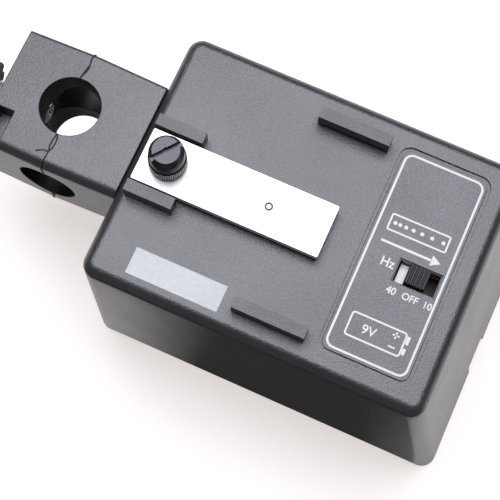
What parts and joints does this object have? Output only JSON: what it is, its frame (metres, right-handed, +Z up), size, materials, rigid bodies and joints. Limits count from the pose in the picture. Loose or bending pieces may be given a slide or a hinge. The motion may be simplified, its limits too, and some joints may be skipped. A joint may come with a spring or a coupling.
{
  "type": "ticker timer",
  "caption": "Battery-driven tape marker for classroom dynamics: moulded case with tape bridges, anvil plate, striker, rate switch and a side clamp block for a support rod.",
  "frame": {"origin": "centre of the case's flat underside", "axes": "+X from the rod clamp to the switch end, +Y the way the paper tape runs across the case, +Z up"},
  "size_m": [0.1575, 0.07, 0.0733],
  "materials": {
    "case_plastic": "satin moulded black plastic",
    "label_film": "satin printed panel",
    "plate_steel": "bright plated sheet",
    "nickel": "nickel plated",
    "blackened_steel": "black oxide over a turned head",
    "zinc_steel": "zinc plated",
    "brass": "turned brass",
    "phenolic": "brown laminate",
    "white_nylon": "moulded",
    "black_nylon": "moulded",
    "battery_jacket": "lacquered jacket",
    "black_vinyl": "soft vinyl",
    "foam": "foam",
    "red_wire": "insulated wire",
    "orange_wire": "insulated wire",
    "yellow_wire": "insulated wire",
    "soft_iron": "plated soft iron",
    "bobbin_nylon": "moulded",
    "copper_wire": "enamelled copper",
    "spring_steel": "drawn wire",
    "buffer_rubber": "moulded rubber",
    "board_green": "solder mask",
    "chip_black": "moulded",
    "capacitor_blue": "shrink sleeve",
    "trimmer_blue": "moulded",
    "resistor_tan": "lacquered",
    "knob_black": "moulded"
  },
  "bodies": {
    "case": {"case_shell": "case_plastic", "label_plate": "label_film", "anvil_plate": "plate_steel", "disc_pin": "nickel", "threaded_insert": "brass", "switch_frame": "zinc_steel", "switch_housing": "phenolic", "switch_terminals": "brass", "switch_screws": "zinc_steel", "battery": "battery_jacket", "battery_terminals": "nickel", "battery_snap": "black_vinyl", "battery_leads": "red_wire", "magnet_yoke": "zinc_steel", "yoke_screws": "zinc_steel", "magnet_core": "soft_iron", "coil_bobbin": "bobbin_nylon", "coil_winding": "copper_wire", "armature_axle": "nickel", "return_spring": "spring_steel", "rest_buffer": "buffer_rubber", "circuit_board": "board_green", "board_screws": "zinc_steel", "timer_chip": "chip_black", "capacitors": "capacitor_blue", "transistor": "chip_black", "trimmers": "trimmer_blue", "resistors": "resistor_tan", "coil_leads": "orange_wire", "switch_leads": "yellow_wire", "clamp_block": "case_plastic", "block_screws": "zinc_steel", "nut_plate": "zinc_steel"},
    "bottom_cover": {"bottom_cover": "case_plastic", "battery_pad": "foam"},
    "armature": {"armature": "soft_iron", "striker_pin": "nickel"},
    "thumb_screw": {"thumb_screw": "blackened_steel"},
    "switch_slide": {"switch_slider": "white_nylon", "switch_knob": "black_nylon"},
    "clamp_pad": {"clamp_pad": "nickel"},
    "clamp_screw": {"clamp_screw": "zinc_steel", "clamp_knob": "knob_black"}
  },
  "joints": [
    {"name": "switch_travel", "type": "slide", "parent": "case", "child": "switch_slide", "axis": [1, 0, 0], "range_m": [-0.0023, 0.0023]},
    {"name": "thumb_screw_turn", "type": "hinge", "parent": "case", "child": "thumb_screw", "pos_m": [-0.0404, -0.0016, 0.064], "axis": [0, 0, 1], "range_deg": [0, 720]},
    {"name": "striker_swing", "type": "hinge", "parent": "case", "child": "armature", "pos_m": [-0.016, -0.0016, 0.052], "axis": [0, 1, 0], "range_deg": [-7, 0], "stiffness_Nm_per_rad": 0.02, "springref_deg": 5.73, "deforming": ["return_spring"]},
    {"name": "clamp_travel", "type": "slide", "parent": "case", "child": "clamp_pad", "axis": [1, 0, 0], "range_m": [0, 0.004]},
    {"name": "clamp_spin", "type": "hinge", "parent": "clamp_pad", "child": "clamp_screw", "pos_m": [-0.09, 0.0034, 0.0455], "axis": [1, 0, 0], "range_deg": [0, 1134]},
    {"name": "bottom_cover_drop", "type": "slide", "parent": "case", "child": "bottom_cover", "axis": [0, 0, -1], "range_m": [0, 0.015]}
  ],
  "couplings": [
    {"joint": "clamp_spin", "follows": "clamp_travel", "rad_per_m": 4947.4}
  ]
}
